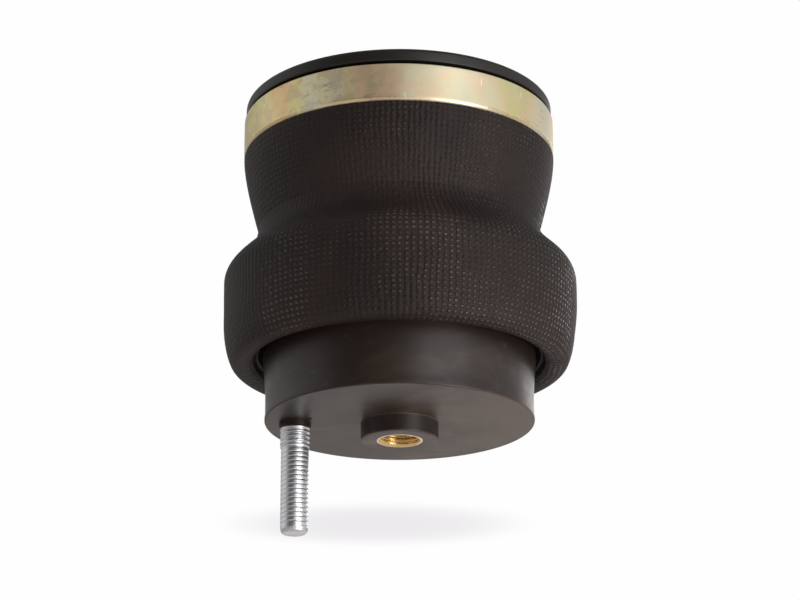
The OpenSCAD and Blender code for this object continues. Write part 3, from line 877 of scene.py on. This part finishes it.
def make_bright_metal(name, tint, stain, roughness, bump, rim=None):
    """Plated or turned metal; beyond the rim's radius, if there is one, it is painted paler, as a painted
    reflection of the white below.
    """
    material, tree, shader, place = new_material(name, roughness, metallic=1.0)
    bloom = use_group(tree, plating_bloom, Place=place)
    stained = ranged(tree, bloom.outputs["Patches"], 0.45, 0.7, 0.0, 0.7)
    colour = mixed(tree, stained, tint, stain)
    if rim:
        flat = tree.nodes.new("ShaderNodeVectorMath")
        flat.operation = "MULTIPLY"
        flat.inputs[1].default_value = (1, 1, 0)
        tree.links.new(place, flat.inputs[0])
        far = tree.nodes.new("ShaderNodeVectorMath")
        far.operation = "LENGTH"
        tree.links.new(flat.outputs[0], far.inputs[0])
        # Painted reflection: the port's flat rim is painted pale cream
        past_rim = ranged(tree, far.outputs["Value"], rim, rim + 0.1 * MM)
        colour = mixed(tree, past_rim, colour, PALE_RIM_REFLECTION)
    tree.links.new(colour, shader.inputs["Base Color"])
    rough = ranged(tree, bloom.outputs["Brushing"], 0.3, 0.7, roughness, roughness + 0.1)
    tree.links.new(rough, shader.inputs["Roughness"])
    height = math_node(tree, "ADD", bloom.outputs["Brushing"], bloom.outputs["Patches"])
    bumped(tree, shader, height, bump)
    return material


sleeve_rubber = make_sleeve_rubber()
bump_rubber = make_moulded_plastic(
    "bump_rubber", (0.012, 0.012, 0.012), (0.02, 0.02, 0.02), roughness=0.6, grain=0.00003)
# The piston's paler tone is painted light on its bottom face
piston_plastic = make_moulded_plastic(
    "piston_plastic", (0.019, 0.011, 0.008), (0.040, 0.026, 0.020), roughness=0.38, grain=0.000008,
    paler_where_lit=(0.080, 0.055, 0.041))
cover_plastic = make_moulded_plastic(
    "cover_plastic", (0.012, 0.010, 0.0072), (0.019, 0.0155, 0.0115), roughness=0.42, grain=0.00001,
    specular=0.44)
yellow_zinc = make_yellow_zinc()
stud_zinc = make_bright_metal(
    "stud_zinc", (0.745, 0.765, 0.79), (0.60, 0.64, 0.65), roughness=0.29, bump=0.000004)
ring_zinc = make_bright_metal(
    "lower_ring_zinc", (0.68, 0.66, 0.60), (0.56, 0.53, 0.46), roughness=0.3, bump=0.00001)
port_brass = make_bright_metal(
    "port_brass", (0.84, 0.60, 0.27), (0.70, 0.46, 0.18), roughness=0.2, bump=0.000003, rim=5.6 * MM)
insert_brass = make_bright_metal(
    "insert_brass", (0.86, 0.64, 0.32), (0.74, 0.52, 0.24), roughness=0.24, bump=0.000004)


def finish_with(piece, material):
    """Gives a piece its material."""
    piece.data.materials.clear()
    piece.data.materials.append(material)
    return piece


# What each piece stands for, and what it moves with

for piece, node, body, material, slot in (
        (crimp_band, "upper_crimp_ring", "cover_unit", yellow_zinc, "ring_zinc"),
        (cover, "top_cover", "cover_unit", cover_plastic, "cover_plastic"),
        (left_insert, "top_insert_left", "cover_unit", insert_brass, "insert_brass"),
        (right_insert, "top_insert_right", "cover_unit", insert_brass, "insert_brass"),
        (piston_shell, "piston_body", "piston_unit", piston_plastic, "piston_plastic"),
        (threaded_stud, "mounting_stud", "piston_unit", stud_zinc, "stud_zinc"),
        (air_port, "air_port_insert", "piston_unit", port_brass, "port_brass")):
    finish_with(piece, material)
    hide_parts(node)
    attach(piece, body)

for piece in (sleeve_upper, sleeve_lobe, sleeve_run):
    finish_with(piece, sleeve_rubber)
    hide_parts("bellows_sleeve")
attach(sleeve_lobe, "rolling_lobe")
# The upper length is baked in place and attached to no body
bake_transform(sleeve_upper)
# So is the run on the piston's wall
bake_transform(sleeve_run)

# The hidden pieces stay as their solids, in the same finishes
for node, material in (
        ("piston_top", piston_plastic), ("lower_crimp_ring", ring_zinc), ("bump_stop", bump_rubber)):
    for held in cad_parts[node].material_slots:
        held.material = material


# Studio

FLOOR_Z_M = -0.45


def make_floor():
    """A pale paper floor that runs up to the white backdrop far from the spring."""
    let_go()
    bpy.ops.mesh.primitive_circle_add(vertices=96, radius=7, fill_type="NGON", location=(0, 0, FLOOR_Z_M))
    floor = bpy.context.object
    floor.name = floor.data.name = "studio_floor"
    bpy.ops.object.transform_apply(location=True)
    material, tree, shader, place = new_material("floor_paper", 0.9)
    tone = mixed(tree, noise_node(tree, place, 3, 2), (0.90, 0.83, 0.79), (0.93, 0.87, 0.835))
    seen = tree.nodes.new("ShaderNodeLightPath").outputs["Is Camera Ray"]
    tree.links.new(mixed(tree, seen, tone, (0.93, 0.93, 0.93)), shader.inputs["Base Color"])
    far = tree.nodes.new("ShaderNodeVectorMath")
    far.operation = "LENGTH"
    tree.links.new(place, far.inputs[0])
    glow = math_node(tree, "MULTIPLY", seen, ranged(tree, far.outputs["Value"], 0.6, 3.0, 0.3, 0.9))
    shader.inputs["Emission Color"].default_value = (1, 1, 1, 1)
    tree.links.new(glow, shader.inputs["Emission Strength"])
    floor.data.materials.append(material)


def softbox(name, place, size, power, aim=(0, 0, 0.03)):
    """A soft rectangular light that faces the spring."""
    light = bpy.data.lights.new(name, "AREA")
    light.shape = "RECTANGLE"
    light.size, light.size_y = size
    light.energy = power
    lamp = bpy.data.objects.new(name, light)
    bpy.context.scene.collection.objects.link(lamp)
    lamp.location = place
    lamp.visible_camera = False
    lamp.rotation_euler = (Vector(aim) - Vector(place)).to_track_quat("-Z", "Y").to_euler()


# How bright the studio's walls are, by the angle from the front: left is minus, right is plus
WALLS = ((-180, 0.4), (-145, 0.45), (-108, 0.72), (-78, 0.65), (-48, 0.08), (-15, 0.04), (0, 0.16),
         (15, 0.5), (62, 0.46), (75, 0.74), (105, 0.66), (140, 0.32), (180, 0.4))

# The faint painted shadow on the backdrop behind the stud: half its width and height, and its middle, as
# parts of a view direction that is one long
SHADE_WIDTH = 0.069
SHADE_HEIGHT = 0.0095
SHADE_LEFT = 0.0094
SHADE_RISE = 0.2465
BACKDROP = (0.99, 0.99, 0.99)
BACKDROP_SHADE = (0.84, 0.82, 0.84)
CEILING = (0.26, 0.26, 0.26)


def make_world():
    """A white studio that is darker in front of the spring, with a white backdrop that carries a faint
    painted shadow behind the stud.
    """
    world = bpy.data.worlds.new("studio")
    bpy.context.scene.world = world
    world.use_nodes = True
    tree = world.node_tree
    surround = tree.nodes["Background"]
    way = tree.nodes.new("ShaderNodeTexCoord").outputs["Generated"]
    split = tree.nodes.new("ShaderNodeSeparateXYZ")
    tree.links.new(way, split.inputs[0])
    towards_camera = math_node(tree, "MULTIPLY", split.outputs["Y"], -1.0)
    round_it = math_node(tree, "ARCTAN2", split.outputs["X"], towards_camera)
    spot = math_node(tree, "MULTIPLY_ADD", round_it, 1 / math.tau, 0.5)
    walls = ramp_node(tree, spot, [(degrees, (bright,) * 3) for degrees, bright in WALLS])
    overhead = ranged(tree, split.outputs["Z"], 0.5, 0.9)
    shade = mixed(tree, overhead, walls, CEILING)
    tree.links.new(shade, surround.inputs["Color"])
    surround.inputs["Strength"].default_value = 1.0
    backdrop = tree.nodes.new("ShaderNodeBackground")
    aside = math_node(tree, "MULTIPLY_ADD", split.outputs["X"], 1 / SHADE_WIDTH, SHADE_LEFT / SHADE_WIDTH)
    above = math_node(tree, "MULTIPLY_ADD", split.outputs["Z"], 1 / SHADE_HEIGHT,
                      -SHADE_RISE / SHADE_HEIGHT)
    out = math_node(tree, "MULTIPLY_ADD", aside, aside, math_node(tree, "MULTIPLY", above, above))
    soft = math_node(tree, "POWER", ranged(tree, out, 0.0, 1.0, 1.0, 0.0), 1.3)
    ahead = math_node(tree, "GREATER_THAN", split.outputs["Y"], 0.0)
    soft = math_node(tree, "MULTIPLY", soft, ahead)
    tree.links.new(mixed(tree, soft, BACKDROP, BACKDROP_SHADE), backdrop.inputs["Color"])
    seen = tree.nodes.new("ShaderNodeLightPath").outputs["Is Camera Ray"]
    either = tree.nodes.new("ShaderNodeMixShader")
    tree.links.new(seen, either.inputs[0])
    tree.links.new(surround.outputs[0], either.inputs[1])
    tree.links.new(backdrop.outputs[0], either.inputs[2])
    tree.links.new(either.outputs[0], tree.nodes["World Output"].inputs["Surface"])


CAMERA_PLACE = (0, -0.6541, -0.1938)
CAMERA_RISE = 19.26
CAMERA_ROLL = -0.17
CAMERA_LENS = 115.63
CAMERA_SHIFT = 0.0009


def make_camera():
    """The photo's viewpoint, fitted to the edges of its ellipses: low down, looking up at the piston."""
    camera = bpy.data.cameras.new("photo_view")
    camera.sensor_width = 36
    camera.lens = CAMERA_LENS
    camera.shift_x = CAMERA_SHIFT
    camera.clip_start = 0.01
    seen_from = bpy.data.objects.new("photo_view", camera)
    bpy.context.scene.collection.objects.link(seen_from)
    seen_from.location = CAMERA_PLACE
    seen_from.rotation_mode = "QUATERNION"
    tilt = Quaternion((1, 0, 0), math.radians(90 + CAMERA_RISE))
    seen_from.rotation_quaternion = tilt @ Quaternion((0, 0, 1), math.radians(CAMERA_ROLL))
    bpy.context.scene.camera = seen_from


make_floor()
make_world()
softbox("key_right", place=(0.92, -1.18, 0.42), size=(1.2, 1.2), power=6.3)
softbox("paper_glow", place=(0.6, 1.3, 0.45), size=(1.8, 1.0), power=9.0, aim=(0.6, 1.3, FLOOR_Z_M))
softbox("low_right", place=(0.44, -0.42, -0.43), size=(0.4, 0.7), power=4.9)
bpy.context.scene.view_settings.view_transform = "Standard"
make_camera()
